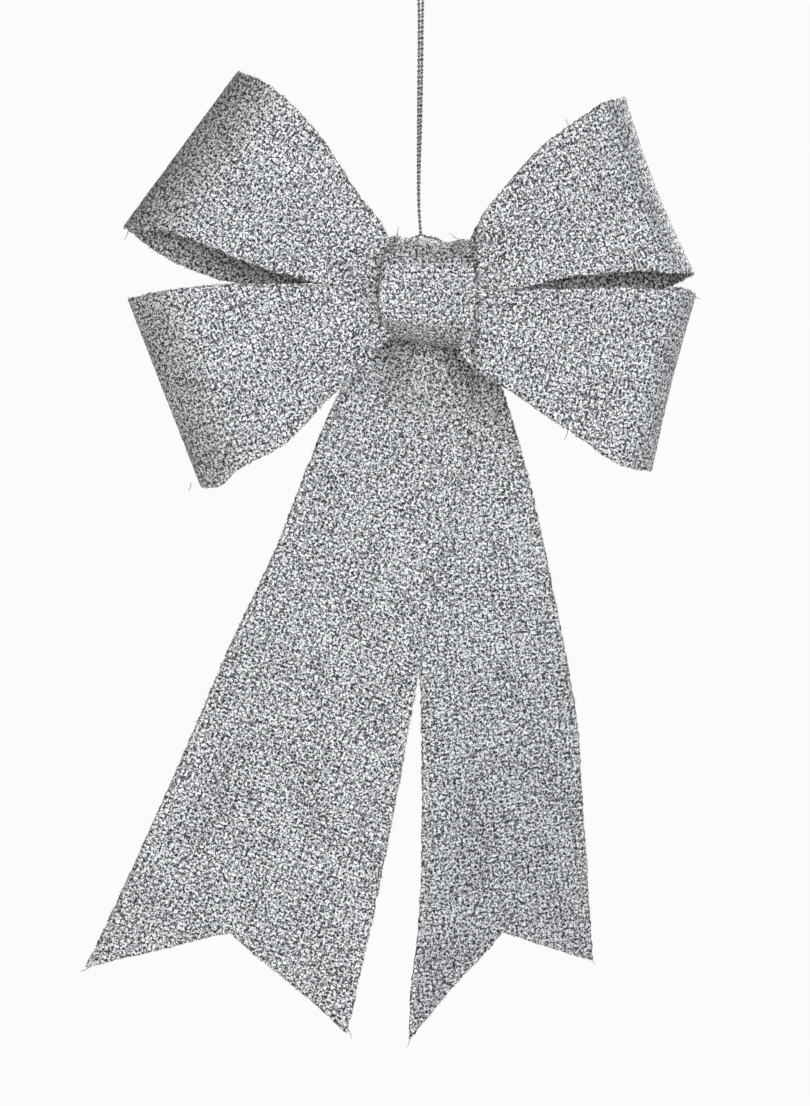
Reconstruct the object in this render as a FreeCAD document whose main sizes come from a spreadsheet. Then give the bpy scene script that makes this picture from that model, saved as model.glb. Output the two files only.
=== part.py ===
# Pre-made gift bow of stiffened glitter knit, hanging on a thin cord.
# Frame: millimetres, +Z up, front of the bow towards -Y, +X to the right.
# The origin is the hanging point, where the cord's top bend rests on its hook.
# Every size that can be set by itself is a named cell of the sheet "Sizes".
import FreeCAD, Part
import math
import os
import Sketcher

doc = FreeCAD.newDocument("gift_bow")
sheet = doc.addObject("Spreadsheet::Sheet", "Sizes")

SIZES = {
    # knot
    "knot_side": 2.6,            # the knot's centre stands this far right of the cord
    "knot_drop": 92.0,           # and this far below the hanging point
    "band_width": 24.0,
    "band_height": 28.0,
    "band_depth": 16.0,
    "cloth": 0.8,                # thickness of every strip of cloth
    "lap_height": 10.0,
    "lap_step": 2.0,
    "band_glue_film": 0.4,
    "tail_glue_width": 14.0,
    "tail_glue_height": 9.0,
    "tail_glue_film": 0.8,
    # thread round the gathered ends
    "thread_width": 3.2,
    "thread_wall": 0.7,
    "thread_room": 2.2,          # clear space over the gathered ends' corners
    "thread_depth_room": 2.8,    # lets the gathered ends turn inside the thread
    "thread_edge": 0.25,
    # gathered ends of the loops
    "neck_head_room": 7.2,       # clear space over the gathered ends, under the band's top
    "neck_half_depth": 2.0,
    "neck_end_gap": 0.5,         # half the gap between a left and a right end
    "neck_layer_gap": 0.6,       # half the gap between an upper and a lower end
    "neck_shoulder": 8.0,
    "mouth_side": 2.4,           # how far outside the band's side a loop starts to widen
    "mouth_head_room": 4.2,      # clear space over a loop's end at the band's side
    "neck_length": 22.0,
    "loop_end_radius": 9.0,
    "profile_back": 14.0,        # how far the loop's profile starts behind the knot's centre
    "profile_half_width": 75.0,
    "outline_half_depth": 30.0,
    "outline_stretch": 1.6,      # how far past the fold's corners the trimming outline runs
    # cord
    "cord_diameter": 0.75,
    "cord_hole_room": 0.75,
    "cord_hole_left": -3.1,
    "cord_hole_right": 5.7,
    "cord_knot_diameter": 2.6,
    "cord_knot_side": 1.3,
    "cord_knot_depth": 3.4,      # centre of the knot below the band's top
    # tails
    "tail_gap": 0.3,             # clear space in front of and between the tails
    "tail_tab_top": 6.0,
    "tail_tab_half": 9.0,
    # where each tail leaves the band's lower edge, and its outline below, from the knot's centre
    "left_tail_shoulder_x": -23.9,
    "left_tail_shoulder_z": -25.2,
    "left_tail_tip_x": -89.3,
    "left_tail_tip_z": -174.9,
    "left_tail_notch_x": -52.0,
    "left_tail_notch_z": -166.1,
    "left_tail_point_x": -22.0,
    "left_tail_point_z": -191.9,
    "left_tail_inner_x": 11.2,
    "left_tail_inner_z": -25.2,
    "right_tail_shoulder_x": 19.0,
    "right_tail_shoulder_z": -23.9,
    "right_tail_tip_x": 41.6,
    "right_tail_tip_z": -172.1,
    "right_tail_notch_x": 18.9,
    "right_tail_notch_z": -166.4,
    "right_tail_point_x": -5.3,
    "right_tail_point_z": -193.8,
    "right_tail_inner_x": -8.0,
    "right_tail_inner_z": -25.0,
    "right_tail_outer_radius": 543.0,
    "right_tail_inner_radius": 812.0,
    "right_tail_turn": 32.0,     # how far its lower end is turned about the vertical
    "right_tail_hinge_x": -15.0,
    "right_tail_sheet_width": 66.0,
    "right_tail_sheet_foot": 202.0,
    "right_tail_sheet_head": 14.0,
    "right_tail_knee": 73.0,     # two levels between, and the turn reached at each
    "right_tail_knee_turn": 11.0,
    "right_tail_shin": 135.0,
    "right_tail_shin_turn": 23.0,
}

# Each loop: lean of its fold's normal from +X, reach of the fold from the knot's centre, and the
# outline seen from the front, from the knot's centre, that trims the folded strip.
LOOPS = {
    "upper_left_loop": {
        "lean": 143.6, "reach": 74.2,
        "root_x": -16.0, "root_z": 20.5, "high_x": -54.0, "high_z": 58.8, "high_radius": 74.5,
        "crease_x": -30.0, "crease_z": 2.8, "low_x": -83.0, "low_z": 20.4, "low_radius": 141.0,
    },
    "upper_right_loop": {
        "lean": 21.4, "reach": 65.7,
        "root_x": 15.4, "root_z": 17.5, "high_x": 54.0, "high_z": 53.2, "high_radius": 73.0,
        "crease_x": 27.0, "crease_z": 2.6, "low_x": 72.0, "low_z": 5.2, "low_radius": 400.0,
    },
    "lower_left_loop": {
        "lean": 201.3, "reach": 73.3,
        "root_x": -16.2, "root_z": -15.5, "high_x": -62.0, "high_z": -53.0, "high_radius": 144.0,
        "crease_x": -30.0, "crease_z": 1.6, "low_x": -82.0, "low_z": -0.6, "low_radius": 212.0,
    },
    "lower_right_loop": {
        "lean": -14.1, "reach": 66.9,
        "root_x": 16.4, "root_z": -16.0, "high_x": 60.0, "high_z": -48.5, "high_radius": 120.0,
        "crease_x": 28.0, "crease_z": 1.2, "low_x": 72.0, "low_z": 0.4, "low_radius": 400.0,
    },
}

# Which way the edge facing the loop's neighbour bulges, going from the fold towards the knot.
LOW_SIDES = {"upper_left_loop": -1, "upper_right_loop": -1, "lower_left_loop": 1, "lower_right_loop": -1}

for loop_name, loop_sizes in LOOPS.items():
    for size_name, value in loop_sizes.items():
        SIZES[loop_name + "_" + size_name] = value

for row, (alias, value) in enumerate(SIZES.items(), start=1):
    sheet.set("A%d" % row, alias)
    sheet.set("B%d" % row, str(value))
    sheet.setAlias("B%d" % row, alias)
doc.recompute()


def size(expression):
    """Value in millimetres or degrees of an expression in the sheet's cells."""
    return float(sheet.evalExpression(expression))


def origin_plane(body, role):
    """The body's own origin plane with this role."""
    return [plane for plane in body.Origin.OriginFeatures if plane.Role == role][0]


def new_body(name, x="Sizes.knot_side", y="0", z="-Sizes.knot_drop"):
    """A body whose place is bound to the sheet; by default at the knot's centre."""
    body = doc.addObject("PartDesign::Body", name)
    body.Label = name
    body.setExpression("Placement.Base.x", x)
    body.setExpression("Placement.Base.y", y)
    body.setExpression("Placement.Base.z", z)
    return body


def new_sketch(body, name, role, offset=None):
    """A sketch on one of the body's origin planes, moved along its normal by an expression."""
    sketch = body.newObject("Sketcher::SketchObject", name)
    sketch.AttachmentSupport = [(origin_plane(body, role), "")]
    sketch.MapMode = "FlatFace"
    if offset is not None:
        sketch.setExpression("AttachmentOffset.Base.z", offset)
    return sketch


def bind(sketch, constraint, expression):
    """Add a driving dimension and bind it to an expression."""
    index = sketch.addConstraint(constraint)
    sketch.setExpression("Constraints[%d]" % index, expression)


def arc_between(start, end, radius, side):
    """Arc between two corners, bulging to the left (side 1) or right (side -1) of the way from start.

    It is always drawn anticlockwise, so the second value says whether it runs from start to end.
    """
    chord = end - start
    left = FreeCAD.Vector(-chord.y, chord.x, 0).normalize()
    sagitta = radius - math.sqrt(radius ** 2 - (chord.Length / 2) ** 2)
    crown = (start + end) * 0.5 + left * (side * sagitta)
    if side > 0:
        return Part.Arc(end, crown, start), False
    return Part.Arc(start, crown, end), True


def closed_outline(sketch, corners, arcs=None):
    """Closed chain through corners given as pairs of expressions; arcs maps an edge to (radius, side)."""
    arcs = arcs or {}
    points = [FreeCAD.Vector(size(x), size(y), 0) for x, y in corners]
    count = len(points)
    ends = []
    for edge in range(count):
        start = points[edge]
        end = points[(edge + 1) % count]
        if edge in arcs:
            radius, side = arcs[edge]
            arc, forward = arc_between(start, end, size(radius), side)
            index = sketch.addGeometry(arc, False)
            ends.append((index, 1, 2) if forward else (index, 2, 1))
            bind(sketch, Sketcher.Constraint("Radius", index, size(radius)), radius)
        else:
            index = sketch.addGeometry(Part.LineSegment(start, end), False)
            ends.append((index, 1, 2))
    for edge, (index, start_mark, end_mark) in enumerate(ends):
        after, after_start, _ = ends[(edge + 1) % count]
        sketch.addConstraint(Sketcher.Constraint("Coincident", index, end_mark, after, after_start))
        x, y = corners[edge]
        bind(sketch, Sketcher.Constraint("DistanceX", -1, 1, index, start_mark, size(x)), x)
        bind(sketch, Sketcher.Constraint("DistanceY", -1, 1, index, start_mark, size(y)), y)


# Keeps a half circle's radius just over half its chord, so that its arc can be solved.
HALF_CIRCLE_EASE = " + 0.0001"


def stadium(sketch, half_depth, half_height):
    """Upright stadium about the sketch's origin: straight front and back, round top and bottom."""
    rise = "(%s) - (%s)" % (half_height, half_depth)
    corners = [
        (half_depth, "-(%s)" % rise),
        (half_depth, rise),
        ("-(%s)" % half_depth, rise),
        ("-(%s)" % half_depth, "-(%s)" % rise),
    ]
    rounding = (half_depth + HALF_CIRCLE_EASE, -1)
    closed_outline(sketch, corners, {1: rounding, 3: rounding})


def pad(body, sketch, name, length, midplane=True, reverse=False):
    """Pad of a sketch; its length is an expression."""
    feature = body.newObject("PartDesign::Pad", name)
    feature.Profile = sketch
    feature.setExpression("Length", length)
    feature.Midplane = midplane
    feature.Reversed = reverse
    return feature


BAND_ROOF = "(Sizes.band_height / 2 - Sizes.cloth)"
NECK_TOP = "(%s - Sizes.neck_head_room)" % BAND_ROOF
MOUTH_TOP = "(%s - Sizes.mouth_head_room)" % BAND_ROOF
CORD_HOLE_RADIUS = "(Sizes.cord_diameter + Sizes.cord_hole_room) / 2"


def make_knot_band():
    """Short strip wrapped about the left-right axis, lapped on itself at the back."""
    body = new_body("knot_band")
    ring = new_sketch(body, "band_ring", "YZ_Plane")
    stadium(ring, "Sizes.band_depth / 2", "Sizes.band_height / 2")
    stadium(ring, "Sizes.band_depth / 2 - Sizes.cloth", "Sizes.band_height / 2 - Sizes.cloth")
    pad(body, ring, "band_wall", "Sizes.band_width")
    lap = new_sketch(body, "band_lap", "YZ_Plane")
    back = "Sizes.band_depth / 2"
    root = "Sizes.band_depth / 2 - Sizes.cloth / 2"
    film = back + " + Sizes.band_glue_film"
    outer = film + " + Sizes.cloth"
    top = "Sizes.lap_height / 2"
    closed_outline(lap, [
        (root, top),
        (film, top),
        (film, "-Sizes.lap_height / 2"),
        (outer, "-Sizes.lap_height / 2"),
        (outer, top + " + Sizes.lap_step"),
        (root, top + " + Sizes.lap_step"),
    ])
    pad(body, lap, "lap_wall", "Sizes.band_width")
    doc.recompute()
    before = body.Shape.Volume
    holes = new_sketch(body, "cord_holes", "XY_Plane")
    for side in ("Sizes.cord_hole_left", "Sizes.cord_hole_right"):
        place = side + " - Sizes.knot_side"
        centre = FreeCAD.Vector(size(place), 0, 0)
        circle = Part.Circle(centre, FreeCAD.Vector(0, 0, 1), size(CORD_HOLE_RADIUS))
        index = holes.addGeometry(circle, False)
        holes.addConstraint(Sketcher.Constraint("PointOnObject", index, 3, -1))
        bind(holes, Sketcher.Constraint("DistanceX", -1, 1, index, 3, size(place)), place)
        bind(holes, Sketcher.Constraint("Radius", index, size(CORD_HOLE_RADIUS)), CORD_HOLE_RADIUS)
    cut = body.newObject("PartDesign::Pocket", "cord_hole_cut")
    cut.Profile = holes
    cut.Reversed = True
    cut.setExpression("Length", "Sizes.band_height")
    doc.recompute()
    one_hole = math.pi * size(CORD_HOLE_RADIUS) ** 2 * size("Sizes.cloth")
    assert body.Shape.Volume < before - one_hole, "the cord's holes cut too little"
    return body


# How near an edge's middle has to be to a plane to count as lying in it, in millimetres.
IN_PLANE = 0.01


def make_gathering_thread():
    """Turns of thread round the four gathered ends, as one rounded ring."""
    body = new_body("gathering_thread")
    ring = new_sketch(body, "thread_ring", "YZ_Plane")
    depth = "Sizes.neck_half_depth + Sizes.thread_depth_room"
    height = NECK_TOP + " + Sizes.thread_room"
    stadium(ring, depth + " + Sizes.thread_wall", height + " + Sizes.thread_wall")
    stadium(ring, depth, height)
    base = pad(body, ring, "thread_wall_pad", "Sizes.thread_width")
    doc.recompute()
    rounding = body.newObject("PartDesign::Fillet", "thread_rounding")
    edges = ["Edge%d" % (i + 1) for i, e in enumerate(base.Shape.Edges) if len(e.Vertexes) == 2
             and abs(abs(e.CenterOfMass.x) - size("Sizes.thread_width / 2")) < IN_PLANE]
    rounding.Base = (base, edges)
    rounding.setExpression("Radius", "Sizes.thread_edge")
    return body


def make_glue(name, width, film, height, front):
    """Thin pad of hot-melt glue on the back of the knot."""
    glue = doc.addObject("Part::Box", name)
    glue.Label = name
    glue.setExpression("Length", width)
    glue.setExpression("Width", film)
    glue.setExpression("Height", height)
    glue.setExpression("Placement.Base.x", "Sizes.knot_side - (%s) / 2" % width)
    glue.setExpression("Placement.Base.y", front)
    glue.setExpression("Placement.Base.z", "-Sizes.knot_drop - (%s) / 2" % height)
    return glue


def make_loop(name):
    """Folded strip: a teardrop profile drawn out along its fold, trimmed to its front outline."""
    own = "Sizes.%s_" % name
    strip = new_body(name + "_strip")
    strip.Placement = FreeCAD.Placement(FreeCAD.Vector(), FreeCAD.Rotation(FreeCAD.Vector(0, -1, 0), 1.0))
    strip.setExpression("Placement.Rotation.Angle", own + "lean")
    profile = new_sketch(strip, name + "_profile", "XY_Plane")
    for inset in (None, "Sizes.cloth"):
        teardrop(profile, own, inset)
    pad(strip, profile, name + "_strip_pad", "Sizes.profile_half_width * 2")

    trim = new_body(name + "_trim")
    outline = new_sketch(trim, name + "_outline", "XZ_Plane")
    right = size(own + "high_x") > 0
    upper = size(own + "root_z") > 0
    sx = "" if right else "-"
    sz = "" if upper else "-"
    corners = [
        (sx + "Sizes.neck_end_gap", sz + "Sizes.neck_layer_gap"),
        (sx + "Sizes.neck_end_gap", sz + NECK_TOP),
        (sx + "Sizes.neck_shoulder", sz + NECK_TOP),
        (sx + "(Sizes.band_width / 2 + Sizes.mouth_side)", sz + MOUTH_TOP),
        (own + "root_x", own + "root_z"),
        (own + "high_x", own + "high_z"),
        (own + "high_x * Sizes.outline_stretch", own + "high_z * Sizes.outline_stretch"),
        (own + "low_x * Sizes.outline_stretch", own + "low_z * Sizes.outline_stretch"),
        (own + "low_x", own + "low_z"),
        (own + "crease_x", own + "crease_z"),
    ]
    high_side = 1 if right == upper else -1
    arcs = {4: (own + "high_radius", high_side), 8: (own + "low_radius", LOW_SIDES[name])}
    closed_outline(outline, corners, arcs)
    pad(trim, outline, name + "_trim_pad", "Sizes.outline_half_depth * 2")

    loop = doc.addObject("Part::Common", name)
    loop.Label = name
    loop.Base = strip
    loop.Tool = trim
    return loop


def teardrop(sketch, own, inset):
    """Neck, two slanting panels and the round outer end; inset gives the hollow inside the cloth."""
    half = size("Sizes.neck_half_depth")
    neck_end = size("Sizes.neck_length")
    outer_radius = size("Sizes.loop_end_radius")
    centre_x = own + "reach - Sizes.loop_end_radius"
    radius_text = "Sizes.loop_end_radius" if inset is None else "Sizes.loop_end_radius - " + inset
    radius = size(radius_text)
    centre = FreeCAD.Vector(size(centre_x), 0, 0)
    slope = math.asin(outer_radius / math.hypot(centre.x - neck_end, half))
    slope -= math.atan2(half, centre.x - neck_end)
    touch = centre + FreeCAD.Vector(-math.sin(slope), math.cos(slope), 0) * radius
    below = FreeCAD.Vector(touch.x, -touch.y, 0)
    if inset is None:
        back = -size("Sizes.profile_back")
        chain = [FreeCAD.Vector(neck_end, half, 0), FreeCAD.Vector(back, half, 0),
                 FreeCAD.Vector(back, -half, 0), FreeCAD.Vector(neck_end, -half, 0)]
    else:
        chain = [FreeCAD.Vector(touch.x - touch.y / math.tan(slope), 0, 0)]
    chain = [touch] + chain + [below]
    lines = [sketch.addGeometry(Part.LineSegment(a, b), False) for a, b in zip(chain, chain[1:])]
    tip = centre + FreeCAD.Vector(radius, 0, 0)
    round_end = sketch.addGeometry(Part.Arc(below, tip, touch), False)
    for before, after in zip(lines, lines[1:]):
        sketch.addConstraint(Sketcher.Constraint("Coincident", before, 2, after, 1))
    sketch.addConstraint(Sketcher.Constraint("Tangent", lines[-1], 2, round_end, 1))
    sketch.addConstraint(Sketcher.Constraint("Tangent", round_end, 2, lines[0], 1))
    sketch.addConstraint(Sketcher.Constraint("PointOnObject", round_end, 3, -1))
    bind(sketch, Sketcher.Constraint("DistanceX", -1, 1, round_end, 3, centre.x), centre_x)
    bind(sketch, Sketcher.Constraint("Radius", round_end, radius), radius_text)
    if inset is None:
        corner = "Sizes.neck_half_depth"
        back_text = "-Sizes.profile_back"
        places = [(0, "Sizes.neck_length", corner), (1, back_text, corner),
                  (2, back_text, "-" + corner), (3, "Sizes.neck_length", "-" + corner)]
        for line, x, y in places:
            bind(sketch, Sketcher.Constraint("DistanceX", -1, 1, lines[line], 2, size(x)), x)
            bind(sketch, Sketcher.Constraint("DistanceY", -1, 1, lines[line], 2, size(y)), y)
    else:
        sketch.addConstraint(Sketcher.Constraint("PointOnObject", lines[0], 2, -1))
        bind(sketch, Sketcher.Constraint("DistanceX", -1, 1, lines[0], 2, chain[1].x), hollow_start(own))


def hollow_start(own):
    """Where the hollow of a loop begins: the outer panels' slope drawn a cloth's thickness in."""
    centre = "(" + own + "reach - Sizes.loop_end_radius)"
    run = "(%s - Sizes.neck_length)" % centre
    slope = "(asin(Sizes.loop_end_radius / sqrt(pow(%s; 2) + pow(Sizes.neck_half_depth; 2)))" % run
    slope += " - atan(Sizes.neck_half_depth / %s))" % run
    return "%s - (Sizes.loop_end_radius - Sizes.cloth) / sin(%s)" % (centre, slope)


def tail_outline(sketch, side, arcs):
    """Tail seen from the front: the tab behind the band, two long edges and the swallow-tailed end."""
    own = "Sizes.%s_tail_" % side
    left = side == "left"
    near, far = ("inner", "shoulder") if left else ("shoulder", "inner")
    low = ["tip", "notch", "point"] if left else ["point", "notch", "tip"]
    corners = [
        ("Sizes.tail_tab_half", "Sizes.tail_tab_top"),
        ("-Sizes.tail_tab_half", "Sizes.tail_tab_top"),
        (own + far + "_x", own + far + "_z"),
    ]
    corners += [(own + corner + "_x", own + corner + "_z") for corner in low]
    corners += [(own + near + "_x", own + near + "_z")]
    closed_outline(sketch, corners, arcs)


def make_left_tail(front):
    """Front tail: a flat tapered strip."""
    body = new_body("left_tail", y=front + " + Sizes.cloth / 2")
    outline = new_sketch(body, "left_tail_outline", "XZ_Plane")
    tail_outline(outline, "left", {})
    pad(body, outline, "left_tail_pad", "Sizes.cloth")
    return body


def make_right_tail(front):
    """Back tail: a sheet that turns about the vertical on its way down, trimmed to its outline."""
    sheet_body = new_body("right_tail_sheet", y=front)
    levels = [
        ("-Sizes.right_tail_sheet_head", "0"),
        ("Sizes.right_tail_sheet_head", "0"),
        ("Sizes.right_tail_knee", "Sizes.right_tail_knee_turn"),
        ("Sizes.right_tail_shin", "Sizes.right_tail_shin_turn"),
        ("Sizes.right_tail_sheet_foot", "Sizes.right_tail_turn"),
    ]
    near = "Sizes.right_tail_hinge_x"
    far = near + " + Sizes.right_tail_sheet_width"
    sections = []
    for level, (down, turn) in enumerate(levels):
        section = new_sketch(sheet_body, "right_tail_level_%d" % level, "XY_Plane", "-(%s)" % down)
        back = "Sizes.right_tail_sheet_width * tan(%s * 1deg)" % turn
        closed_outline(section, [(near, "0"), (far, back), (far, back + " + Sizes.cloth"), (near, "Sizes.cloth")])
        sections.append(section)
    doc.recompute()
    sweep = sheet_body.newObject("PartDesign::AdditiveLoft", "right_tail_sheet_loft")
    sweep.Profile = sections[0]
    sweep.Sections = sections[1:]
    sweep.Ruled = True
    trim = new_body("right_tail_trim")
    outline = new_sketch(trim, "right_tail_outline", "XZ_Plane")
    arcs = {2: ("Sizes.right_tail_inner_radius", 1), 5: ("Sizes.right_tail_outer_radius", -1)}
    tail_outline(outline, "right", arcs)
    pad(trim, outline, "right_tail_trim_pad", "Sizes.right_tail_sheet_width * 3")
    tail = doc.addObject("Part::Common", "right_tail")
    tail.Label = "right_tail"
    tail.Base = sheet_body
    tail.Tool = trim
    return tail


# Share of a run that a bend at its end takes up.
BEND_SHARE = 0.45

# The cord's route: one strand up to the hook, over it and down again. The two strands lie side by
# side at the top, one before the other lower down, and part just above the band.
CORD_UP = [
    (0.10, -0.43, -74.9),
    (-0.36, -0.43, -69.0),
    (-0.47, -0.38, -61.0),
    (-0.45, -0.26, -50.0),
    (-0.37, -0.10, -38.0),
    (-0.22, 0.02, -25.0),
    (-0.24, 0.00, -15.0),
    (-1.10, 0.00, -8.0),
    (-1.90, 0.00, -3.0),
    (-1.90, 0.00, 0.40),
]
CORD_DOWN = [
    (1.90, 0.00, 0.40),
    (1.90, 0.00, -3.0),
    (1.30, 0.00, -8.0),
    (0.70, 0.00, -15.0),
    (0.58, 0.06, -25.0),
    (0.45, 0.26, -38.0),
    (0.16, 0.42, -50.0),
    (-0.20, 0.48, -61.0),
    (-0.30, 0.43, -69.0),
    (0.10, 0.43, -74.9),
]
CORD_LEFT_END = [
    (0.10, -0.43, -75.0),
    (0.22, -0.43, -76.7),
    (-3.10, 0.00, -77.5),
    (-3.10, 0.00, -80.2),
    (0.00, 0.00, -81.3),
]
CORD_RIGHT_END = [
    (0.10, 0.43, -75.0),
    (0.22, 0.43, -76.7),
    (5.70, 0.00, -77.5),
    (5.70, 0.00, -80.2),
    (2.60, 0.00, -81.3),
]


def cord_tube(points, name):
    """Tube of the cord's diameter along straight runs joined by tangent arcs."""
    route = [FreeCAD.Vector(*point) for point in points]
    edges = []
    start = route[0]
    tightest = None
    for before, corner, after in zip(route, route[1:], route[2:]):
        come = (corner - before).normalize()
        leave = (after - corner).normalize()
        turn = come.getAngle(leave)
        shorter = min((corner - before).Length, (after - corner).Length)
        radius = BEND_SHARE * shorter / math.tan(turn / 2)
        cut = radius * math.tan(turn / 2)
        arc_start = corner - come * cut
        arc_end = corner + leave * cut
        towards = (leave - come).normalize()
        middle = corner + towards * (radius / math.cos(turn / 2) - radius)
        edges.append(Part.LineSegment(start, arc_start).toShape())
        edges.append(Part.Arc(arc_start, middle, arc_end).toShape())
        start = arc_end
        tightest = radius if tightest is None else min(tightest, radius)
        print("%s: turn %.1f deg, radius %.2f mm" % (name, math.degrees(turn), radius))
    edges.append(Part.LineSegment(start, route[-1]).toShape())
    length = sum(edge.Length for edge in edges)
    path = Part.Wire(edges)
    section = Part.Wire(Part.makeCircle(size("Sizes.cord_diameter / 2"), route[0], route[1] - route[0]))
    tube = Part.Wire(path).makePipeShell([section], True, True)
    expected = math.pi * size("Sizes.cord_diameter / 2") ** 2 * length
    print("%s: length %.1f mm, tightest %.2f mm, volume %.3f of section times length"
          % (name, length, tightest, tube.Volume / expected))
    return tube


def make_cord():
    """The cord's two stretches and the knot that holds its ends under the band's top."""
    hanging = doc.addObject("Part::Feature", "hanging_cord")
    hanging.Label = "hanging_cord"
    hanging.Shape = cord_tube(CORD_UP + CORD_DOWN, "hanging_cord")
    ends = doc.addObject("Part::Feature", "cord_ends")
    ends.Label = "cord_ends"
    strands = [cord_tube(points, "cord_ends") for points in (CORD_LEFT_END, CORD_RIGHT_END)]
    ends.Shape = Part.makeCompound(strands)
    knot = doc.addObject("Part::Sphere", "cord_knot")
    knot.Label = "cord_knot"
    knot.setExpression("Radius", "Sizes.cord_knot_diameter / 2")
    knot.setExpression("Placement.Base.x", "Sizes.cord_knot_side")
    knot.setExpression("Placement.Base.z",
                       "Sizes.band_height / 2 - Sizes.knot_drop - Sizes.cord_knot_depth")
    return [hanging, ends, knot]


nodes = [make_knot_band(), make_gathering_thread()]
band_back = "Sizes.band_depth / 2"
lap_back = band_back + " + Sizes.band_glue_film + Sizes.cloth"
nodes.append(make_glue("band_glue", "Sizes.band_width", "Sizes.band_glue_film", "Sizes.lap_height", band_back))
nodes.append(make_glue("tail_glue", "Sizes.tail_glue_width", "Sizes.tail_glue_film",
                       "Sizes.tail_glue_height", lap_back))
tails_front = lap_back + " + Sizes.tail_glue_film + Sizes.tail_gap"
nodes += [make_loop(name) for name in LOOPS]
nodes.append(make_left_tail(tails_front))
nodes.append(make_right_tail(tails_front + " + Sizes.cloth + Sizes.tail_gap"))
nodes += make_cord()
doc.recompute()

for item in doc.Objects:
    assert not {"Invalid", "Error"} & set(item.State), "%s: %s" % (item.Name, item.State)

os.makedirs("parts", exist_ok=True)
for node in nodes:
    shape = node.Shape
    assert not shape.isNull() and shape.isValid() and shape.Solids, node.Label
    box = shape.BoundBox
    print("%-18s solids %d volume %9.2f  x %7.2f %7.2f  y %6.2f %6.2f  z %8.2f %8.2f"
          % (node.Label, len(shape.Solids), shape.Volume, box.XMin, box.XMax, box.YMin, box.YMax,
             box.ZMin, box.ZMax))
    shape.exportStep("parts/%s.step" % node.Label)
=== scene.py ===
"""Pre-made gift bow of stiffened glitter knit, hanging on a thin cord.

Metres, +Z up, front of the bow towards -Y, +X to the right. The origin is the hanging point.
Each piece has an operator of its own, and main() runs them all in order.
"""
import math

import bpy
import numpy as np
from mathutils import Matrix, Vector


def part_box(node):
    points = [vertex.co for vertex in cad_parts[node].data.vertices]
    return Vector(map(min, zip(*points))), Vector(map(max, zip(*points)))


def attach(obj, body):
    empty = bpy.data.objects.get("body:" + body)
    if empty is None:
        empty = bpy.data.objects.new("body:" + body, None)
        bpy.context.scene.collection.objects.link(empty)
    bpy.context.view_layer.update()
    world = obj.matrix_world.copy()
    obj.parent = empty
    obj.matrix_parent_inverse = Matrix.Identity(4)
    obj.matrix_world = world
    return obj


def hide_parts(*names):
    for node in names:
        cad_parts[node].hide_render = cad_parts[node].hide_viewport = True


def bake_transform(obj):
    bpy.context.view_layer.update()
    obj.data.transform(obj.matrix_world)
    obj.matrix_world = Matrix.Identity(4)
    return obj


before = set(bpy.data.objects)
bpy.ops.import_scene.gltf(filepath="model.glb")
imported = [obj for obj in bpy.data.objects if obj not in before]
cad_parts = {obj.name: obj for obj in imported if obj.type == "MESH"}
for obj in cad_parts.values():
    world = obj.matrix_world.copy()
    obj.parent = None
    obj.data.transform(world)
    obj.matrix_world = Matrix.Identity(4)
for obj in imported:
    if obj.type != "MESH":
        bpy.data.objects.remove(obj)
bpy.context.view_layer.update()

bl_info = {
    "name": "Gift bow",
    "version": (1, 0, 0),
    "blender": (4, 5, 0),
    "location": "3D View > Sidebar > Gift bow",
    "description": "Builds a glitter-knit gift bow on a hanging cord, piece by piece",
    "category": "Object",
}

MM = 0.001
CLOTH_MAP = "cloth"            # UV map in millimetres of cloth: x across the strip, y along it

BAND_LOW, BAND_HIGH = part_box("knot_band")
KNOT = np.array([(BAND_LOW.x + BAND_HIGH.x) / 2, 0.0, (BAND_LOW.z + BAND_HIGH.z) / 2]) / MM
BAND_HALF_HEIGHT = (BAND_HIGH.z - BAND_LOW.z) / 2 / MM
BAND_HALF_DEPTH = -BAND_LOW.y / MM
LAP_BACK = BAND_HIGH.y / MM
FRONT_TAIL_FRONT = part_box("left_tail")[0].y
BACK_TAIL_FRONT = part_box("right_tail")[0].y
LOOP_HALF_DEPTH = -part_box("upper_left_loop")[0].y / MM

VIEW_DISTANCE = 1600.0         # camera to hanging point, and the middle of its view, in millimetres
VIEW_MIDDLE = np.array([-3.9, -159.1])


def linear(hex_colour):
    """Linear RGB of an sRGB colour such as "#8090a0"."""
    channels = [int(hex_colour[i:i + 2], 16) / 255 for i in (1, 3, 5)]
    return tuple(c / 12.92 if c <= 0.04045 else ((c + 0.055) / 1.055) ** 2.4 for c in channels)


def length(name, description, default):
    """A size in metres that shows its unit."""
    return bpy.props.FloatProperty(name=name, description=description, default=default, min=0.0,
                                   subtype="DISTANCE", unit="LENGTH", precision=5)


def colour(name, description, hex_colour):
    """A colour whose default is an sRGB hex value."""
    return bpy.props.FloatVectorProperty(name=name, description=description, subtype="COLOR",
                                         size=3, min=0.0, max=1.0, default=linear(hex_colour))


def number(name, description, default, unit="NONE"):
    """A plain number."""
    return bpy.props.FloatProperty(name=name, description=description, default=default, subtype=unit)


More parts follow.
